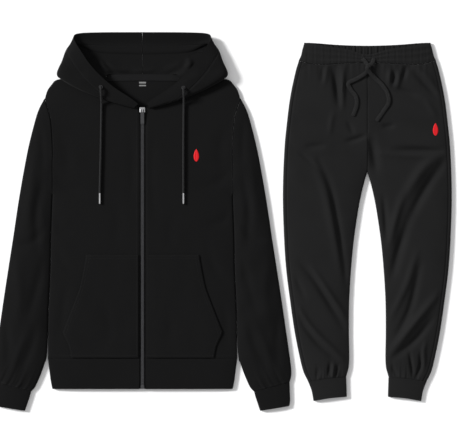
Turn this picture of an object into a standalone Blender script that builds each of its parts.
"""A black zip hoodie and matching joggers, laid flat side by side on the floor.

Metres, +Z up. +X runs to the right and +Y up the garments, as they are seen from above.
Each garment is worked out in its own frame: the hoodie from the zip's foot, the joggers from
the middle of the leg openings. The cloth's outer face is a grid of points, and its inner face
is that grid moved in along its normals, so that every piece is a wall of even thickness.
"""

import math

import bmesh
import bpy
import numpy as np
from mathutils import Vector
from mathutils.bvhtree import BVHTree

# Cloth
FLEECE = 0.0024
BAND_CLOTH = 0.0026
TAPE_CLOTH = 0.0009
SEAM = 0.0003  # the gap between two pieces that are sewn together
CURVED_SEAM = 0.0014  # the same at the armhole, whose two edges are cut at different points
FOLD_RADIUS = 0.004  # outer radius of the cloth where it turns over at a side
RISE = 0.025  # how far in from a fold the cloth has risen most of the way

# Where each garment's own frame lies on the floor
HOODIE_AT = (-0.2004, -0.4179)
JOGGERS_AT = (0.3611, -0.4493)

# Hoodie
BODY_LOFT = 0.012
SLEEVE_LOFT = 0.0175
CUFF_LOFT = 0.0135
ZIP_HALF_OPEN = 0.008
HEM_SEAM_Y = 0.0765
NECK_POINT = (0.0915, 0.7785)
UNDERARM = (0.2250, 0.4830)
SHOULDER_TIP = (0.2440, 0.7245)
# Sizes of the body's panels, and how far up each row of points lies, closer near the curved edges
FRONT_WIDTH, FRONT_HEIGHT = 0.2288, 0.66
FRONT_ROWS = [0, 0.15, 0.3, 0.45, 0.58, 0.66, 0.73, 0.79, 0.845, 0.89, 0.925, 0.955]
BACK_WIDTH, BACK_HEIGHT = 0.46, 0.68
BACK_ROWS = [0, 0.3, 0.58, 0.66, 0.73, 0.79, 0.845, 0.89, 0.925, 0.96]
SLEEVE_ROWS = [0, 0.04, 0.09, 0.15, 0.22, 0.31, 0.42, 0.54, 0.66, 0.77, 0.86, 0.92, 0.97, 1]
HOOD_DEPTH_ENDS, HOOD_DEPTH_SIZE = (0.45, 0.62), 0.72  # the folded depth's size at its ends and between

# Joggers
HIP_LOFT = 0.0125
LEG_LOFT = 0.0150
WAIST_LOFT = 0.0125
SIDE_SEAM_IN = 0.009  # the back wraps round the side by this much
FOLDS_FADE = 0.018  # folds fade out over this much beside a seam
CROTCH = (SEAM / 2, 0.5730)

BLACK = (0.0105, 0.0105, 0.0110)
CHARCOAL = (0.0180, 0.0180, 0.0185)

# Half outlines as x, y from the garment's middle line and foot
BODY_SIDE = [
    (0.2368, HEM_SEAM_Y), (0.2358, 0.1208), (0.2350, 0.1908), (0.2300, 0.2958),
    (0.2288, 0.3758), UNDERARM,
]
ARMHOLE = [UNDERARM, (0.2250, 0.5608), (0.2240, 0.5958), (0.2290, 0.6720), SHOULDER_TIP]
SHOULDER = [
    SHOULDER_TIP, (0.2380, 0.7445), (0.2275, 0.7595), (0.2120, 0.7725), (0.1600, 0.7780), NECK_POINT,
]
FRONT_NECK = [NECK_POINT, (0.0885, 0.7655), (0.0775, 0.7470), (0.0600, 0.7270), (0.0300, 0.7090),
              (ZIP_HALF_OPEN, 0.7000)]
BACK_NECK = [NECK_POINT, (0.0800, 0.7825), (0.0500, 0.7832), (0.0, 0.7834)]
SLEEVE_INNER = [
    (0.2262, 0.4822), (0.2300, 0.3758), (0.2314, 0.2958), (0.2364, 0.1908), (0.2376, 0.1208),
    (0.2400, 0.0765), (0.2443, 0.0645), (0.2510, 0.0445), (0.2590, 0.0245), (0.2685, 0.0045),
    (0.2780, -0.0064),
]
SLEEVE_OUTER = [
    (0.2452, 0.7248), (0.2583, 0.6995), (0.2685, 0.6695), (0.2870, 0.5945), (0.3075, 0.4820),
    (0.3245, 0.3695), (0.3420, 0.2570), (0.3585, 0.1445), (0.3698, 0.0645), (0.3716, 0.0358),
    (0.3672, 0.0162),
]
CUFF_INNER = [(0.2785, -0.0069), (0.2830, -0.0230), (0.2873, -0.0355), (0.2935, -0.0545)]
CUFF_OUTER = [(0.3672, 0.0157), (0.3680, -0.0080), (0.3686, -0.0280), (0.3665, -0.0425)]
HEM_SIDE = [
    (0.2366, HEM_SEAM_Y - SEAM), (0.2325, 0.0445), (0.2300, 0.0245), (0.2262, 0.0040), (0.2245, 0.0),
]

LEG_OUTER = [
    (0.1715, 0.8500), (0.1800, 0.8208), (0.1925, 0.7608), (0.2003, 0.7008), (0.2074, 0.6258),
    (0.2110, 0.5133), (0.2076, 0.4008), (0.2023, 0.3258), (0.1928, 0.2508), (0.1819, 0.1758),
    (0.1701, 0.1158), (0.1601, 0.0758), (0.1480, 0.0500),
]
CENTRE_SEAM = [(SEAM / 2, 0.8450), (SEAM / 2, CROTCH[1])]
INSEAM = [
    CROTCH, (0.0069, 0.5508), (0.0160, 0.5133), (0.0231, 0.4758), (0.0340, 0.4008),
    (0.0410, 0.3258), (0.0453, 0.2508), (0.0461, 0.1758), (0.0455, 0.0958), (0.0530, 0.0612),
]
WAIST_SEAM = [(SEAM / 2, 0.8450), (0.0600, 0.8435), (0.1280, 0.8410), (0.1715, 0.8500)]
ANKLE_SEAM = [(0.0530, 0.0612), (0.0980, 0.0580), (0.1480, 0.0500)]
LEG_CUFF_INNER = [(0.0528, 0.0606), (0.0520, 0.0360), (0.0513, 0.0120)]
LEG_CUFF_OUTER = [(0.1477, 0.0494), (0.1390, 0.0260), (0.1345, 0.0012)]
BAND_SEAM = [(0.0, 0.8462), (0.0600, 0.8447), (0.1280, 0.8422), (0.1715, 0.8512)]
BAND_SIDE = [(0.1715, 0.8512), (0.1659, 0.8633), (0.1624, 0.8783), (0.1572, 0.8960)]
BAND_FRONT_TOP = [(0.0, 0.8660), (0.0530, 0.8795), (0.1050, 0.8870), (0.1572, 0.8960)]
BAND_BACK_TOP = [(0.0, 0.8885), (0.0700, 0.8905), (0.1300, 0.8950), (0.1572, 0.8960)]

# Folds of the joggers: start, middle and end of each as x, y, then half width and height.
# A trough has a negative height.
LEFT_LEG_FOLDS = [
    (-0.0854, 0.8300, -0.0779, 0.7920, -0.0704, 0.7370, 0.0120, -0.0040),
    (-0.0600, 0.8280, -0.0620, 0.7870, -0.0629, 0.7320, 0.0120, 0.0030),
    (-0.0529, 0.6495, -0.0304, 0.6545, -0.0054, 0.6633, 0.0110, -0.0025),
    (-0.1229, 0.6045, -0.0879, 0.5145, -0.0504, 0.2895, 0.0130, -0.0032),
    (-0.1354, 0.6020, -0.1060, 0.5145, -0.0700, 0.3270, 0.0130, 0.0025),
    (-0.1679, 0.3470, -0.1229, 0.2920, -0.0579, 0.1845, 0.0130, -0.0032),
    (-0.1379, 0.3420, -0.1004, 0.2870, -0.0554, 0.2220, 0.0120, 0.0028),
    (-0.1754, 0.2395, -0.1379, 0.1820, -0.0604, 0.1070, 0.0130, 0.0033),
    (-0.1679, 0.2070, -0.1279, 0.1500, -0.0779, 0.0990, 0.0120, -0.0026),
]
RIGHT_LEG_FOLDS = [
    (0.0650, 0.8295, 0.0660, 0.8000, 0.0640, 0.7600, 0.0120, -0.0028),
    (0.1096, 0.8295, 0.1371, 0.8020, 0.1721, 0.7645, 0.0130, -0.0032),
    (0.0696, 0.6283, 0.1271, 0.6270, 0.1921, 0.6245, 0.0130, -0.0040),
    (0.1846, 0.6145, 0.1396, 0.5820, 0.0871, 0.5020, 0.0140, 0.0038),
    (0.1896, 0.5900, 0.1441, 0.5270, 0.1016, 0.4470, 0.0120, -0.0035),
    (0.1021, 0.4520, 0.0796, 0.3820, 0.0621, 0.3120, 0.0130, -0.0035),
    (0.0871, 0.5120, 0.0691, 0.4470, 0.0566, 0.3870, 0.0130, 0.0030),
    (0.1321, 0.3470, 0.1071, 0.2370, 0.0721, 0.1620, 0.0130, -0.0026),
    (0.1746, 0.2670, 0.1171, 0.1970, 0.0571, 0.1220, 0.0120, 0.0042),
    (0.1621, 0.2070, 0.1171, 0.1520, 0.0646, 0.1095, 0.0130, -0.0032),
]

# Hood half at stations from the front V round to the centre seam at the back. Each has the
# neck seam, the fold at the hood's outline and the rim, as x, y, and the heights of the outer
# face under the fold, at the fold, above it and at the rim.
HOOD_STATIONS = [
    # neck x, y, fold x, y, rim x, y, under, fold, over, rim
    (0.0112, 0.7030, 0.0210, 0.7005, 0.0105, 0.7110, 0.0132, 0.0166, 0.0205, 0.0205),
    (0.0300, 0.7120, 0.0500, 0.7083, 0.0300, 0.7260, 0.0134, 0.0180, 0.0232, 0.0230),
    (0.0600, 0.7295, 0.1000, 0.7238, 0.0700, 0.7520, 0.0134, 0.0185, 0.0245, 0.0235),
    (0.0775, 0.7490, 0.1550, 0.7458, 0.1050, 0.7820, 0.0134, 0.0190, 0.0275, 0.0270),
    (0.0880, 0.7680, 0.2000, 0.7708, 0.1313, 0.8108, 0.0128, 0.0180, 0.0285, 0.0295),
    (0.0910, 0.7800, 0.2133, 0.7858, 0.1500, 0.8383, 0.0105, 0.0150, 0.0275, 0.0295),
    (0.0860, 0.7845, 0.2013, 0.8158, 0.1638, 0.8595, 0.0060, 0.0115, 0.0250, 0.0275),
    (0.0750, 0.7842, 0.1863, 0.8508, 0.1708, 0.8745, 0.0020, 0.0080, 0.0185, 0.0215),
    (0.0600, 0.7840, 0.1600, 0.8600, 0.1630, 0.8862, 0.0000, 0.0015, 0.0080, 0.0150),
    (0.0350, 0.7838, 0.1100, 0.8400, 0.1120, 0.8898, 0.0000, 0.0000, 0.0030, 0.0120),
    (0.0002, 0.7838, 0.0002, 0.8350, 0.0002, 0.8904, 0.0000, 0.0000, 0.0025, 0.0110),
]

POCKET_OUTER = [
    (0.1780, 0.0792), (0.1840, 0.1083), (0.1985, 0.1408), (0.1935, 0.1558), (0.1645, 0.2308),
    (0.1545, 0.2608), (0.1437, 0.3158), (0.1415, 0.3350),
]
POCKET_INNER_X = 0.0105
POCKET_TOP = 0.3350

# Zip, in the hoodie's frame
TAPE_TOP = BODY_LOFT - FLEECE - SEAM
TAPE_THICK = 0.0008
TAPE_WIDTH = 0.013
COIL_WIDTH = 0.0028
COIL_TOP = BODY_LOFT - 0.0002
ZIP_FOOT, ZIP_HEAD = 0.0095, 0.6990
FOOT_BOX_Y, FOOT_BOX_WIDTH, FOOT_BOX_LENGTH = 0.0050, 0.0090, 0.0080
SLIDER_Y = 0.6965
SLIDER_LENGTH, SLIDER_WIDTH, SLIDER_PLATE = 0.0120, 0.0130, 0.0024
BAIL_WIDTH, BAIL_POST, BAIL_CLEAR, BAIL_BAR, BAIL_SPAN = 0.0022, 0.0016, 0.0030, 0.0012, 0.0078
PULL_LENGTH, PULL_WIDTH, PULL_THICK = 0.0350, 0.0085, 0.0013
PULL_WINDOW = (0.0038, 0.0062)
PULL_REST_DEGREES = 4.5

# Cords
CORD_DIAMETER = 0.0050
CORD_BEND = 0.020  # the stretch at its eyelet where the cord turns over, with closer points
EYELET_RADIUS, EYELET_WIRE = 0.0042, 0.0009
AGLET_DIAMETER, AGLET_LENGTH = 0.0044, 0.0270
DRAWCORD_POINTS = {
    # x, y, z down from the eyelet to the aglet
    "left": [
        (-0.1028, 0.7525, 0.0280), (-0.1028, 0.7519, 0.0305), (-0.1027, 0.7485, 0.0328),
        (-0.1022, 0.7380, 0.0318), (-0.1018, 0.7280, 0.0266), (-0.1016, 0.7180, 0.0200),
        (-0.1018, 0.7080, 0.0157), (-0.1024, 0.6700, 0.0153), (-0.1036, 0.6000, 0.0153),
        (-0.1053, 0.5300, 0.0153), (-0.1062, 0.4890, 0.0153),
    ],
    "right": [
        (0.1026, 0.7505, 0.0280), (0.1026, 0.7499, 0.0305), (0.1027, 0.7465, 0.0328),
        (0.1032, 0.7370, 0.0318), (0.1034, 0.7275, 0.0266), (0.1034, 0.7180, 0.0200),
        (0.1032, 0.7080, 0.0157), (0.1028, 0.6700, 0.0153), (0.1024, 0.6000, 0.0153),
        (0.1024, 0.5300, 0.0153), (0.1024, 0.4890, 0.0153),
    ],
}
TIE_WIDTH, TIE_THICK = 0.0100, 0.0022
TIE_POINTS = {
    # x, y, z from the waistband's hole to the free end
    "left": [
        (-0.0120, 0.8560, 0.0140), (-0.0040, 0.8450, 0.0152), (0.0030, 0.8330, 0.0182),
        (-0.0060, 0.8190, 0.0168), (-0.0260, 0.8060, 0.0162), (-0.0480, 0.7940, 0.0166),
        (-0.0420, 0.7780, 0.0160), (-0.0290, 0.7600, 0.0156), (-0.0280, 0.7380, 0.0156),
        (-0.0370, 0.7120, 0.0156),
    ],
    "right": [
        (0.0160, 0.8560, 0.0140), (0.0110, 0.8440, 0.0182), (-0.0020, 0.8320, 0.0245),
        (0.0060, 0.8190, 0.0205), (0.0190, 0.8060, 0.0166), (0.0350, 0.7910, 0.0162),
        (0.0490, 0.7690, 0.0158), (0.0520, 0.7460, 0.0158), (0.0380, 0.7230, 0.0156),
        (0.0220, 0.7000, 0.0156),
    ],
}


def clear_scene():
    """Leaves the scene empty."""
    for found in list(bpy.data.objects):
        bpy.data.objects.remove(found, do_unlink=True)


def material(name, colour, roughness, metallic=0.0):
    """A Principled material, made once for each name."""
    made = bpy.data.materials.get(name) or bpy.data.materials.new(name)
    made.use_nodes = True
    shader = made.node_tree.nodes["Principled BSDF"]
    shader.inputs["Base Color"].default_value = (*colour, 1.0)
    shader.inputs["Roughness"].default_value = roughness
    shader.inputs["Metallic"].default_value = metallic
    return made


def smooth_curve(points, per_span=12):
    """A function of 0 to 1, by length, along a smooth curve through the points."""
    knots = np.array(points, float)
    before = 2 * knots[0] - knots[1]
    after = 2 * knots[-1] - knots[-2]
    knots = np.vstack([before, knots, after])
    line = []
    for k in range(1, len(knots) - 2):
        p0, p1, p2, p3 = knots[k - 1 : k + 3]
        for u in np.linspace(0, 1, per_span, endpoint=False):
            line.append(0.5 * (2 * p1 + (p2 - p0) * u + (2 * p0 - 5 * p1 + 4 * p2 - p3) * u**2
                               + (3 * p1 - p0 - 3 * p2 + p3) * u**3))
    line = np.array(line + [knots[-2]])
    run = np.concatenate([[0], np.cumsum(np.linalg.norm(np.diff(line, axis=0), axis=1))])
    run /= run[-1]
    return lambda t: np.stack([np.interp(t, run, line[:, k]) for k in range(line.shape[1])], -1)


def joined(*curves):
    """One function of 0 to 1 along several point lists, which keep a corner where they meet."""
    parts = [smooth_curve(points) for points in curves]
    steps = np.linspace(0, 1, 80)
    line = np.vstack([part(steps) for part in parts])
    run = np.concatenate([[0], np.cumsum(np.linalg.norm(np.diff(line, axis=0), axis=1))])
    run /= run[-1]
    return lambda t: np.stack([np.interp(t, run, line[:, k]) for k in range(2)], -1)


def between(foot, head, near, far):
    """A plan patch of s across and t along, filled in between four edge curves."""

    def plan(s, t):
        s, t = np.broadcast_arrays(np.asarray(s, float), np.asarray(t, float))
        s1, t1 = s[..., None], t[..., None]
        rows = (1 - t1) * foot(s) + t1 * head(s)
        columns = (1 - s1) * near(t) + s1 * far(t)
        corners = ((1 - s1) * (1 - t1) * foot(np.float64(0)) + s1 * (1 - t1) * foot(np.float64(1))
                   + (1 - s1) * t1 * head(np.float64(0)) + s1 * t1 * head(np.float64(1)))
        return rows + columns - corners

    return plan


def distance_to(points, line):
    """How far each point of a plan grid lies from a line of points."""
    ends = smooth_curve(line)(np.linspace(0, 1, 60))
    a, b = ends[:-1], ends[1:]
    flat = points.reshape(-1, 1, 2)
    along = ((flat - a) * (b - a)).sum(-1) / np.maximum(((b - a) ** 2).sum(-1), 1e-12)
    nearest = a + np.clip(along, 0, 1)[..., None] * (b - a)
    return np.linalg.norm(flat - nearest, axis=-1).min(1).reshape(points.shape[:-1])


def rounded(distance):
    """0 at a fold and 1 once the cloth has turned over it, as a quarter circle."""
    inside = np.clip(distance / FOLD_RADIUS, 0, 1)
    return np.sqrt(1 - (1 - inside) ** 2)


def upper_height(points, folds, loft):
    """Height of the outer face of the cloth that lies on top, from its distance to each fold."""
    turn = 1.0
    rise = 1.0
    for line in folds:
        distance = distance_to(points, line)
        turn = np.minimum(turn, rounded(distance))
        rise = rise * (1 - np.exp(-distance / RISE))
    return FOLD_RADIUS * (1 + turn) + (loft - 2 * FOLD_RADIUS) * rise


def lower_height(points, folds):
    """Height of the outer face of the cloth that lies on the floor."""
    turn = 1.0
    for line in folds:
        turn = np.minimum(turn, rounded(distance_to(points, line)))
    return FOLD_RADIUS * (1 - turn)


def fold_relief(points, table):
    """Ridges and troughs, each along a bent line, faded out at its ends."""
    total = np.zeros(points.shape[:-1])
    for x0, y0, x1, y1, x2, y2, half_width, height in table:
        line = smooth_curve([(x0, y0), (x1, y1), (x2, y2)])(np.linspace(0, 1, 24))
        apart = np.linalg.norm(points[..., None, :] - line, axis=-1)
        nearest = apart.argmin(-1) / 23
        fade = np.sin(np.pi * np.clip(nearest * 0.92 + 0.04, 0, 1)) ** 0.7
        total += height * fade * np.exp(-((apart.min(-1) / half_width) ** 2))
    return total


def spread(width, near, middle, far):
    """Places across a panel: at set distances from both edges, and evenly in between."""
    start, end = near[-1] / width, 1 - far[-1] / width
    inner = np.linspace(start, end, middle + 2)[1:-1]
    return np.concatenate([np.array(near) / width, inner, 1 - np.array(far[::-1]) / width])


FOLD_STEPS = [0.0, 0.85 * FOLD_RADIUS, 3 * FOLD_RADIUS]


def tangents(grid, axis, closed):
    """Differences along one axis. At an edge the cloth ends upright, or flat on if it folds there."""
    moved = np.moveaxis(grid, axis, 0)
    if closed:
        found = np.roll(moved, -1, 0) - np.roll(moved, 1, 0)
    else:
        found = np.empty_like(moved)
        found[1:-1] = moved[2:] - moved[:-2]
        for end, step in ((0, moved[1] - moved[0]), (-1, moved[-1] - moved[-2])):
            level = step.copy()
            level[..., 2] = 0
            upright = np.zeros_like(step)
            upright[..., 2] = np.copysign(1.0, step[..., 2])
            at_fold = np.abs(moved[end][..., 2] - FOLD_RADIUS) < 0.0006
            found[end] = np.where(at_fold[..., None], upright, level)
    found = found / np.maximum(np.linalg.norm(found, axis=-1, keepdims=True), 1e-9)
    return np.moveaxis(found, 0, axis)


def inner_face(grid, thickness, closed=False, facing=1.0, upright_ends=True):
    """The grid moved in by the cloth's thickness."""
    across, along = tangents(grid, 1, closed), tangents(grid, 0, False)
    if not upright_ends:
        along[0], along[-1] = grid[1] - grid[0], grid[-1] - grid[-2]
        across[:, 0], across[:, -1] = grid[:, 1] - grid[:, 0], grid[:, -1] - grid[:, -2]
    normal = np.cross(across, along)
    normal /= np.maximum(np.linalg.norm(normal, axis=-1, keepdims=True), 1e-9)
    return grid - facing * thickness * normal


def add_object(name, points, faces, look, place=(0.0, 0.0)):
    """One object from points and faces, its faces turned out and its origin at the garment's frame."""
    mesh = bpy.data.meshes.new(name)
    mesh.from_pydata([tuple(point) for point in points], [], faces)
    work = bmesh.new()
    work.from_mesh(mesh)
    bmesh.ops.recalc_face_normals(work, faces=work.faces)
    if work.calc_volume(signed=True) < 0:
        bmesh.ops.reverse_faces(work, faces=work.faces)
    work.to_mesh(mesh)
    work.free()
    mesh.shade_smooth()
    mesh.set_sharp_from_angle(angle=math.radians(50))
    mesh.materials.append(look)
    made = bpy.data.objects.new(name, mesh)
    made.location = (*place, 0.0)
    bpy.context.scene.collection.objects.link(made)
    return made


def wall(name, grid, thickness, look, place, closed=False, facing=1.0, upright_ends=True):
    """A cloth wall: its outer grid, the same grid moved in, and the edges between them."""
    inner = inner_face(grid, thickness, closed, facing, upright_ends)
    rows, columns = grid.shape[:2]
    points = np.concatenate([grid.reshape(-1, 3), inner.reshape(-1, 3)])
    shift = rows * columns
    spans = columns if closed else columns - 1

    def at(row, column):
        return row * columns + column % columns

    faces = []
    for row in range(rows - 1):
        for column in range(spans):
            quad = (at(row, column), at(row, column + 1),
                    at(row + 1, column + 1), at(row + 1, column))
            faces += [quad, tuple(shift + index for index in reversed(quad))]
    for column in range(spans):
        for row in (0, rows - 1):
            a, b = at(row, column), at(row, column + 1)
            faces.append((a, b, shift + b, shift + a) if row else (b, a, shift + a, shift + b))
    if not closed:
        for row in range(rows - 1):
            for column in (0, columns - 1):
                a, b = at(row, column), at(row + 1, column)
                faces.append((b, a, shift + a, shift + b) if column else (a, b, shift + b, shift + a))
    return add_object(name, points, faces, look, place)


def lofted(name, rings, look, place):
    """A solid through closed rings of points, with flat ends."""
    rings = np.array(rings)
    count, around = rings.shape[:2]
    faces = [tuple(range(around)), tuple((count - 1) * around + k for k in range(around))]
    for ring in range(count - 1):
        for k in range(around):
            a, b = ring * around + k, ring * around + (k + 1) % around
            faces.append((a, b, b + around, a + around))
    return add_object(name, rings.reshape(-1, 3), faces, look, place)


def mirrored(grid):
    """The grid for the other side of the garment."""
    return grid * np.array([-1.0, 1.0, 1.0])


def with_height(plan, height):
    """A grid of x, y, z."""
    return np.concatenate([plan, np.asarray(height)[..., None]], -1)


def both_sides(base, grid, thickness, look, place, **options):
    """The right-hand piece and its mirror image."""
    facing = options.pop("facing", 1.0)
    right = wall(f"{base}_right", grid, thickness, look, place, facing=facing, **options)
    left = wall(f"{base}_left", mirrored(grid), thickness, look, place, facing=-facing, **options)
    return left, right


def tube(plan, rows, widths, folds, loft, middle, slant=0.0):
    """A flattened tube's outer grid: over the top from one fold to the other, and back below."""
    rings = []
    for t, width in zip(rows, widths):
        near = [step * (1 + slant * max(0.0, 1 - t / 0.2)) for step in FOLD_STEPS]
        s = spread(width, near, middle, FOLD_STEPS)
        upper = plan(s, t)
        lower = plan(s[-2:0:-1], t)
        height = loft(t) if callable(loft) else loft
        rings.append(np.vstack([with_height(upper, upper_height(upper, folds, height)),
                                with_height(lower, lower_height(lower, folds))]))
    return np.array(rings)


def widths_of(plan, rows):
    """The patch's width at each row."""
    return np.array([np.linalg.norm(plan(1.0, t) - plan(0.0, t)) for t in rows])


def hoodie_folds():
    """Lines along which the hoodie's body turns over, on both sides."""
    side, shoulder = BODY_SIDE, SHOULDER
    flip = [[(-x, y) for x, y in line] for line in (side, shoulder)]
    return [side, shoulder], flip


def hoodie_body(look):
    """Front halves and the back, which meet at the side folds, the shoulders and the armholes."""
    right_folds, left_folds = hoodie_folds()
    hem = smooth_curve([(ZIP_HALF_OPEN, HEM_SEAM_Y), (0.2368, HEM_SEAM_Y)])
    top = joined(FRONT_NECK[::-1], SHOULDER[::-1])
    centre = smooth_curve([(ZIP_HALF_OPEN, HEM_SEAM_Y), FRONT_NECK[-1]])
    side = joined(BODY_SIDE, ARMHOLE)
    plan = between(hem, top, centre, side)
    s = spread(FRONT_WIDTH, [0.0], 7, FOLD_STEPS)
    t = np.append(FRONT_ROWS, spread(FRONT_HEIGHT, [0.0], 0, FOLD_STEPS)[1:])
    points = plan(s[None, :], t[:, None])
    height = upper_height(points, right_folds, BODY_LOFT)
    height = np.maximum(height, FOLD_RADIUS + SEAM / 2)
    both_sides("hoodie_front", with_height(points, height), FLEECE, look, HOODIE_AT)

    neck = joined(SHOULDER, BACK_NECK)
    right_side = joined(BODY_SIDE, ARMHOLE)

    def back_top(u):
        """From the left shoulder tip over the neck to the right one."""
        u = np.asarray(u, float)
        point = neck(1 - np.abs(2 * u - 1))
        return point * np.stack([np.sign(u - 0.5), np.ones_like(u)], -1)

    def left_side(u):
        return right_side(u) * np.array([-1.0, 1.0])

    foot = smooth_curve([(-0.2368, HEM_SEAM_Y), (0.2368, HEM_SEAM_Y)])
    back = between(foot, back_top, left_side, right_side)
    s = spread(BACK_WIDTH, FOLD_STEPS[:2], 5, FOLD_STEPS[:2])
    t = np.append(BACK_ROWS, spread(BACK_HEIGHT, [0.0], 0, FOLD_STEPS[:2])[1:])
    points = back(s[None, :], t[:, None])
    low = lower_height(points, right_folds + left_folds)
    low = np.minimum(low, FOLD_RADIUS - SEAM / 2)
    wall("hoodie_back", with_height(points, low), FLEECE, look, HOODIE_AT, facing=-1.0)


def sleeve_plan():
    """The sleeve from the armhole to the cuff seam."""
    armhole = smooth_curve([(x + CURVED_SEAM, y) for x, y in ARMHOLE])
    wrist = smooth_curve([SLEEVE_INNER[-1], SLEEVE_OUTER[-1]])
    return between(armhole, wrist, smooth_curve(SLEEVE_INNER), smooth_curve(SLEEVE_OUTER))


def sleeve_loft(t):
    """The sleeve is as high as the body at the armhole, fuller at the elbow and lower at the cuff."""
    full = BODY_LOFT + (SLEEVE_LOFT - BODY_LOFT) * min(t / 0.25, 1.0)
    return full - (SLEEVE_LOFT - CUFF_LOFT - 0.001) * max((t - 0.75) / 0.25, 0.0)


def sleeves(look):
    """The sleeves and their cuffs."""
    plan = sleeve_plan()
    rows = np.array(SLEEVE_ROWS)
    folds = [SLEEVE_INNER, SLEEVE_OUTER]
    grid = tube(plan, rows, widths_of(plan, rows), folds, sleeve_loft, 5, slant=2.0)
    both_sides("sleeve", grid, FLEECE, look, HOODIE_AT, closed=True, facing=-1.0)
    foot = smooth_curve([CUFF_INNER[0], CUFF_OUTER[0]])
    mouth = smooth_curve([CUFF_INNER[-1], CUFF_OUTER[-1]])
    cuff = between(foot, mouth, smooth_curve(CUFF_INNER), smooth_curve(CUFF_OUTER))
    rows = np.linspace(0, 1, 3)
    grid = tube(cuff, rows, widths_of(cuff, rows), [CUFF_INNER, CUFF_OUTER], CUFF_LOFT, 3)
    both_sides("sleeve_cuff", grid, BAND_CLOTH, look, HOODIE_AT, closed=True, facing=-1.0)


def hem_band(look):
    """The band from one side of the zip round the back to the other."""
    side = smooth_curve(HEM_SIDE)
    folds = [HEM_SIDE, [(-x, y) for x, y in HEM_SIDE]]
    grid = []
    for t in np.linspace(0, 1, 5):
        x_side, y = side(t)
        y_row = HEM_SEAM_Y - SEAM - (HEM_SEAM_Y - SEAM) * t
        steps = x_side - np.array(FOLD_STEPS)
        front = np.concatenate([[ZIP_HALF_OPEN, 0.05, 0.11, 0.17], steps[::-1]])
        upper = np.stack([front, np.full(len(front), y_row)], -1)
        lower_x = np.concatenate([steps[1:], [0.11, 0.0, -0.11], -steps[:0:-1]])
        lower = np.stack([lower_x, np.full(len(lower_x), y_row)], -1)
        other = (upper * np.array([-1.0, 1.0]))[::-1]
        grid.append(np.vstack([with_height(upper, upper_height(upper, folds, BODY_LOFT)),
                               with_height(lower, lower_height(lower, folds)),
                               with_height(other, upper_height(other, folds, BODY_LOFT))]))
    wall("hem_band", np.array(grid), BAND_CLOTH, look, HOODIE_AT, facing=-1.0)


def hood_grid(rows=19, columns=13):
    """The outer face of the right hood half."""
    sections = []
    for nx, ny, fx, fy, rx, ry, under, fold, over, rim in HOOD_STATIONS:
        neck = np.array([nx, ny, under])
        crease = np.array([fx, fy, fold])
        edge = np.array([rx, ry, rim])
        low = 0.45 * neck + 0.55 * crease
        low[2] = under
        turn_low = 0.08 * neck + 0.92 * crease
        turn_low[2] = under + 0.15 * (fold - under)
        turn_high = 0.88 * crease + 0.12 * edge
        turn_high[2] = fold + 0.80 * (over - fold)
        high = 0.5 * (crease + edge)
        high[2] = over
        sections.append([neck, low, turn_low, crease, turn_high, high, edge])
    sections = np.array(sections)
    stations = np.linspace(0, 1, rows)
    lines = [smooth_curve(sections[:, k])(stations) for k in range(sections.shape[1])]
    grid = np.array([smooth_curve([line[row] for line in lines])(np.linspace(0, 1, columns))
                     for row in range(rows)])
    grid[..., 2] = np.maximum(grid[..., 2], 0)
    return grid


def hood(look):
    """Hood halves, and the folded depth of the hood between each half's two layers."""
    grid = hood_grid()
    both_sides("hood", grid, FLEECE, look, HOODIE_AT, facing=-1.0, upright_ends=False)
    inside = inner_face(grid, FLEECE + 2 * SEAM, facing=-1.0, upright_ends=False)
    rings = []
    first, last = 5, 12
    for row in range(first, last + 1):
        ring = inside[row, 4:10]
        a, b = ring[-1], ring[0]
        layers = [a + (b - a) * part for part in (0.25, 0.5, 0.75)]
        inward = (a + b) / 2 - ring.mean(0)
        inward /= max(np.linalg.norm(inward), 1e-9)
        groove = [0.003, 0.0, 0.003]
        ring = np.vstack([ring, [p + inward * g for p, g in zip(layers, groove)]])
        end = min(row - first, last - row)
        size = HOOD_DEPTH_ENDS[end] if end < len(HOOD_DEPTH_ENDS) else HOOD_DEPTH_SIZE
        ring = ring.mean(0) + (ring - ring.mean(0)) * size
        rings.append(ring)
    lofted("hood_folds_right", rings, look, HOODIE_AT)
    lofted("hood_folds_left", [mirrored(ring) for ring in rings], look, HOODIE_AT)


def surface_of(name):
    """The faceted surface of an object in its own frame."""
    mesh = bpy.data.objects[name].data
    return BVHTree.FromPolygons([v.co for v in mesh.vertices], [p.vertices for p in mesh.polygons])


def laid_on(plan, surface, clearance):
    """Plan points dropped on a surface, and raised by the thickness and gap given."""
    flat = plan.reshape(-1, 2)
    height = []
    for x, y in flat:
        hit = surface.ray_cast(Vector((x, y, 1.0)), Vector((0, 0, -1)))[0]
        height.append(hit.z if hit else np.nan)
    return with_height(plan, np.array(height).reshape(plan.shape[:-1]) + clearance)


def pockets(look):
    """Kangaroo pockets, laid on the front panels."""
    foot = smooth_curve([(POCKET_INNER_X, POCKET_OUTER[0][1]), POCKET_OUTER[0]])
    head = smooth_curve([(POCKET_INNER_X, POCKET_TOP), POCKET_OUTER[-1]])
    inner = smooth_curve([(POCKET_INNER_X, POCKET_OUTER[0][1]), (POCKET_INNER_X, POCKET_TOP)])
    plan = between(foot, head, inner, smooth_curve(POCKET_OUTER))
    points = plan(np.linspace(0, 1, 8)[None, :], np.linspace(0, 1, 9)[:, None])
    grid = laid_on(points, surface_of("hoodie_front_right"), FLEECE + 2 * SEAM)
    both_sides("pocket", grid, FLEECE, look, HOODIE_AT)


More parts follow.
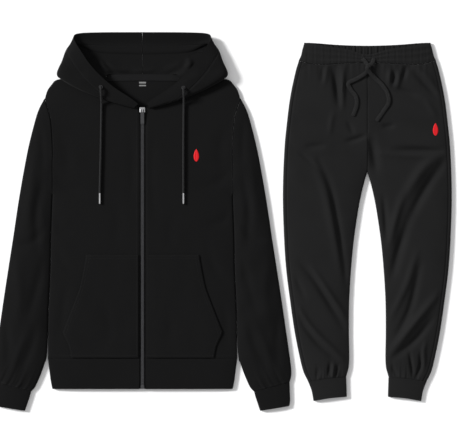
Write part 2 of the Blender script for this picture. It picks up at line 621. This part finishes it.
def neck_tape(look):
    """The tape over the back neck seam, inside."""
    half, low, high = 0.085, 0.7690, 0.7800
    foot = smooth_curve([(-half, low - 0.001), (0, low), (half, low - 0.001)])
    head = smooth_curve([(-half, high - 0.001), (0, high), (half, high - 0.001)])
    plan = between(foot, head, smooth_curve([foot(0.0), head(0.0)]), smooth_curve([foot(1.0), head(1.0)]))
    points = plan(np.linspace(0, 1, 13)[None, :], np.linspace(0, 1, 3)[:, None])
    wall("neck_tape", with_height(points, np.full(points.shape[:-1], FLEECE + SEAM + TAPE_CLOTH)),
         TAPE_CLOTH, look, HOODIE_AT, upright_ends=False)


def box(name, centre, size, look=None, place=(0.0, 0.0)):
    """A plain block."""
    half = np.array(size) / 2
    corners = [np.array(centre) + half * np.array(sign)
               for sign in ((-1, -1, -1), (1, -1, -1), (1, 1, -1), (-1, 1, -1),
                            (-1, -1, 1), (1, -1, 1), (1, 1, 1), (-1, 1, 1))]
    faces = [(0, 3, 2, 1), (4, 5, 6, 7), (0, 1, 5, 4), (1, 2, 6, 5), (2, 3, 7, 6), (3, 0, 4, 7)]
    return add_object(name, corners, faces, look or material("helper", (0.5, 0.5, 0.5), 0.5), place)


def combine(target, tool, operation):
    """Joins or cuts, and hides the tool."""
    tool.hide_render = True
    tool.display_type = "WIRE"
    change = target.modifiers.new(tool.name, "BOOLEAN")
    change.operation = operation
    change.object = tool


def zip_parts(tape_look, metal, place):
    """Tapes with their coil, slider with its bail, pull tab and the box at the foot."""
    tape_foot = TAPE_TOP - TAPE_THICK
    edge = SEAM / 2
    profile = [(edge, tape_foot), (TAPE_WIDTH, tape_foot), (TAPE_WIDTH, TAPE_TOP), (COIL_WIDTH, TAPE_TOP),
               (COIL_WIDTH, COIL_TOP - 0.0006), (COIL_WIDTH - 0.0006, COIL_TOP), (edge, COIL_TOP)]
    for side, sign in (("left", -1), ("right", 1)):
        rings = [[(sign * x, y, z) for x, z in profile] for y in (ZIP_FOOT, ZIP_HEAD)]
        lofted(f"zip_tape_{side}", rings, tape_look, place)

    foot, deck = COIL_TOP + SEAM, COIL_TOP + SEAM + SLIDER_PLATE
    half, lip = SLIDER_WIDTH / 2, COIL_WIDTH + SEAM
    skirt = TAPE_TOP + SEAM
    section = [(-half, skirt), (-lip, skirt), (-lip, foot), (lip, foot), (lip, skirt), (half, skirt),
               (half, deck - 0.0008), (half - 0.0012, deck), (-half + 0.0012, deck), (-half, deck - 0.0008)]
    front, rear = SLIDER_Y - SLIDER_LENGTH / 2, SLIDER_Y + SLIDER_LENGTH / 2
    slider = lofted("zip_slider", [[(x, y, z) for x, z in section] for y in (front, rear)], metal, place)
    reach = (BAIL_SPAN - BAIL_POST) / 2
    for tag, shift in (("front", -reach), ("rear", reach)):
        height = BAIL_CLEAR + BAIL_BAR / 2
        post = box(f"bail_post_{tag}", (0, SLIDER_Y + shift, deck + height / 2 - 0.0003),
                   (BAIL_WIDTH, BAIL_POST, height + 0.0006), place=place)
        combine(slider, post, "UNION")
    bar = box("bail_bar", (0, SLIDER_Y, deck + BAIL_CLEAR + BAIL_BAR / 2),
              (BAIL_WIDTH + 0.0002, BAIL_SPAN + 0.0002, BAIL_BAR), place=place)
    combine(slider, bar, "UNION")

    hinge = bpy.data.objects.new("pull_hinge", None)
    hinge.location = (place[0], place[1] + SLIDER_Y, deck + BAIL_CLEAR / 2 + 0.0002)
    hinge.rotation_euler = (math.radians(PULL_REST_DEGREES), 0, 0)
    bpy.context.scene.collection.objects.link(hinge)
    cross = 0.0007
    pull = box("zip_pull", (0, (cross - PULL_LENGTH) / 2, 0),
               (PULL_WIDTH, PULL_LENGTH + cross, PULL_THICK), metal)
    gap, length = PULL_WINDOW
    window = box("pull_window", (0, -cross - length / 2, 0), (gap, length, 4 * PULL_THICK))
    for piece in (pull, window):
        piece.parent = hinge
    combine(pull, window, "DIFFERENCE")
    box("zip_foot_box", (0, FOOT_BOX_Y, (tape_foot + COIL_TOP) / 2),
        (FOOT_BOX_WIDTH, FOOT_BOX_LENGTH, COIL_TOP - tape_foot), metal, place)


def cord_object(name, points, diameter, look, place):
    """A round cord along a smooth line, as a curve with filled caps."""
    line = smooth_curve(points)
    length = np.linalg.norm(np.diff(line(np.linspace(0, 1, 200)), axis=0), axis=1).sum()
    bend = CORD_BEND / length
    straight = np.linspace(bend, 1, int(length / (2.4 * diameter)))[1:]
    places = np.concatenate([np.linspace(0, bend, 7), straight])
    curve = bpy.data.curves.new(name, "CURVE")
    curve.dimensions = "3D"
    curve.bevel_depth = diameter / 2
    curve.bevel_resolution = 2
    curve.use_fill_caps = True
    spline = curve.splines.new("POLY")
    spline.points.add(len(places) - 1)
    for target, point in zip(spline.points, line(places)):
        target.co = (*point, 1.0)
    curve.materials.append(look)
    made = bpy.data.objects.new(name, curve)
    made.location = (*place, 0.0)
    bpy.context.scene.collection.objects.link(made)


def eyelet(name, centre, normal, look, place):
    """A metal ring on the hood, square to its surface."""
    bpy.ops.mesh.primitive_torus_add(major_radius=EYELET_RADIUS, minor_radius=EYELET_WIRE,
                                     major_segments=16, minor_segments=6)
    ring = bpy.context.object
    ring.name = name
    ring.data.name = name
    ring.rotation_euler = Vector(normal).to_track_quat("Z", "Y").to_euler()
    ring.location = (centre[0] + place[0], centre[1] + place[1], centre[2])
    ring.data.materials.append(look)
    ring.data.shade_smooth()


def drawcords(look, metal, place):
    """The hood's cords, from their eyelets down over the fronts, with metal tips."""
    for side, points in DRAWCORD_POINTS.items():
        surface = surface_of(f"hood_{side}")
        x, y, _ = points[0]
        hit, normal = surface.ray_cast(Vector((x, y, 1.0)), Vector((0, 0, -1)))[:2]
        seat = hit + normal * (EYELET_WIRE + SEAM)
        eyelet(f"eyelet_{side}", seat, normal, metal, place)
        cord_object(f"drawcord_{side}", points, CORD_DIAMETER, look, place)
        x, y, z = points[-1]
        radius = AGLET_DIAMETER / 2
        steps = [(SEAM, 1.0), (AGLET_LENGTH - 0.001, 1.0), (AGLET_LENGTH, 0.75)]
        angles = np.linspace(0, 2 * math.pi, 12, endpoint=False)
        rings = [[(x + radius * size * math.cos(angle), y - down, z + radius * size * math.sin(angle))
                  for angle in angles] for down, size in steps]
        lofted(f"aglet_{side}", rings, metal, place)


def flat_cord(name, points, look, place):
    """A flat cord that lies with its width level, as an oval section along a smooth line."""
    line = smooth_curve(points)
    path = line(np.linspace(0, 1, 28))
    ahead = np.gradient(path, axis=0)
    level = np.stack([ahead[:, 1], -ahead[:, 0], np.zeros(len(path))], -1)
    level /= np.linalg.norm(level, axis=1, keepdims=True)
    rings = []
    for point, across in zip(path, level):
        rings.append([point + across * (TIE_WIDTH / 2) * math.cos(angle)
                      + np.array([0, 0, TIE_THICK / 2]) * math.sin(angle)
                      for angle in np.linspace(0, 2 * math.pi, 8, endpoint=False)])
    lofted(name, rings, look, place)


def leg_plan():
    """Half of the joggers, from the side across to the centre seam and the inseam."""
    waist = smooth_curve(WAIST_SEAM[::-1])
    ankle = smooth_curve(ANKLE_SEAM[::-1])
    side = smooth_curve(LEG_OUTER)
    inner = joined(CENTRE_SEAM, INSEAM)
    return between(waist, ankle, side, inner)


def crotch_place():
    """How far down the panel's inner edge the crotch is, from 0 to 1."""
    inseam = smooth_curve(INSEAM)(np.linspace(0, 1, 80))
    inseam_length = np.linalg.norm(np.diff(inseam, axis=0), axis=1).sum()
    centre_length = CENTRE_SEAM[0][1] - CENTRE_SEAM[1][1]
    return centre_length / (centre_length + inseam_length)


def joggers_legs(look):
    """Front and back panels of both legs."""
    plan = leg_plan()
    crotch = crotch_place()
    rows = np.concatenate([np.linspace(0, crotch, 11), np.linspace(crotch, 1, 20)[1:]])
    widths = widths_of(plan, rows)
    folds = [LEG_OUTER, INSEAM]
    front, back = [], []
    gap = SEAM / 2
    for t, width in zip(rows, widths):
        loft = HIP_LOFT + (LEG_LOFT - HIP_LOFT) * min(t / 0.5, 1.0)
        s = spread(width, [SIDE_SEAM_IN + gap, 0.016], 7, FOLD_STEPS)
        upper = plan(s, t)
        front.append(with_height(upper, np.maximum(upper_height(upper, folds, loft), FOLD_RADIUS + gap)))
    for t, width in zip(rows, widths):
        loft = HIP_LOFT + (LEG_LOFT - HIP_LOFT) * min(t / 0.5, 1.0)
        wrap = np.array([SIDE_SEAM_IN - gap, FOLD_STEPS[1]]) / width
        s = spread(width, FOLD_STEPS[:2], 3, FOLD_STEPS[:2])
        over, under = plan(wrap, t), plan(s, t)
        low = np.minimum(lower_height(under, folds), FOLD_RADIUS)
        low[-1] = min(low[-1], FOLD_RADIUS - gap)
        back.append(np.vstack([with_height(over, upper_height(over, folds, loft)),
                               with_height(under, low)]))
    back = np.array(back)
    for side, sign, table in (("right", 1, RIGHT_LEG_FOLDS), ("left", -1, LEFT_LEG_FOLDS)):
        turned = np.array([sign, 1.0, 1.0])
        grid = np.array(front) * turned
        flat = grid[..., :2]
        inner_line = [(sign * x, y) for x, y in INSEAM]
        outer_line = [(sign * x, y) for x, y in LEG_OUTER]
        calm = np.minimum(distance_to(flat, inner_line), distance_to(flat, outer_line) - SIDE_SEAM_IN)
        calm = np.clip(calm / FOLDS_FADE, 0, 1)
        grid[..., 2] += fold_relief(flat, table) * calm
        wall(f"joggers_front_{side}", grid, FLEECE, look, JOGGERS_AT, facing=sign)
        wall(f"joggers_back_{side}", back * turned, FLEECE, look, JOGGERS_AT, facing=-sign)


def leg_cuffs(look):
    """The cuffs below the ankle seams."""
    foot = smooth_curve([(x, y - 2 * SEAM) for x, y in ANKLE_SEAM])
    mouth = smooth_curve([LEG_CUFF_INNER[-1], (0.0930, 0.0085), LEG_CUFF_OUTER[-1]])
    plan = between(foot, mouth, smooth_curve(LEG_CUFF_INNER), smooth_curve(LEG_CUFF_OUTER))
    rows = np.linspace(0, 1, 3)
    grid = tube(plan, rows, widths_of(plan, rows), [LEG_CUFF_INNER, LEG_CUFF_OUTER], CUFF_LOFT, 4)
    both_sides("leg_cuff", grid, BAND_CLOTH, look, JOGGERS_AT, closed=True, facing=-1.0)


def waistband(look):
    """A ring whose front edge dips, so that the inside of its back shows above it."""

    def whole(half_points):
        """A line right across the garment from its right half."""
        return smooth_curve([(-x, y) for x, y in half_points[:0:-1]] + list(half_points))

    right = smooth_curve(BAND_SIDE)

    def left(t):
        return right(t) * np.array([-1.0, 1.0])

    front = between(whole(BAND_SEAM), whole(BAND_FRONT_TOP), left, right)
    back = between(whole(BAND_SEAM), whole(BAND_BACK_TOP), left, right)
    folds = [BAND_SIDE, [(-x, y) for x, y in BAND_SIDE]]
    rows = np.linspace(0, 1, 5)
    grid = []
    for t, width in zip(rows, widths_of(front, rows)):
        s = spread(width, FOLD_STEPS, 9, FOLD_STEPS)
        upper, lower = front(s, t), back(s[-2:0:-1], t)
        grid.append(np.vstack([with_height(upper, upper_height(upper, folds, WAIST_LOFT)),
                               with_height(lower, lower_height(lower, folds))]))
    wall("waistband", np.array(grid), BAND_CLOTH, look, JOGGERS_AT, closed=True)


def ties(look):
    """The two free tails of the waist drawstring, crossed once."""
    for side, points in TIE_POINTS.items():
        flat_cord(f"tie_{side}", points, look, JOGGERS_AT)


def main():
    """Builds both garments."""
    clear_scene()
    hoodie_cloth = material("hoodie_fleece", BLACK, 0.92)
    joggers_cloth = material("joggers_fleece", CHARCOAL, 0.90)
    black_tape = material("zip_tape", (0.02, 0.02, 0.022), 0.75)
    metal = material("nickel", (0.62, 0.62, 0.63), 0.30, 1.0)
    cord_cloth = material("cord", (0.012, 0.012, 0.013), 0.85)

    hoodie_body(hoodie_cloth)
    sleeves(hoodie_cloth)
    hem_band(hoodie_cloth)
    hood(hoodie_cloth)
    pockets(hoodie_cloth)
    neck_tape(black_tape)
    zip_parts(black_tape, metal, HOODIE_AT)
    drawcords(cord_cloth, metal, HOODIE_AT)
    joggers_legs(joggers_cloth)
    leg_cuffs(joggers_cloth)
    waistband(joggers_cloth)
    ties(cord_cloth)


main()
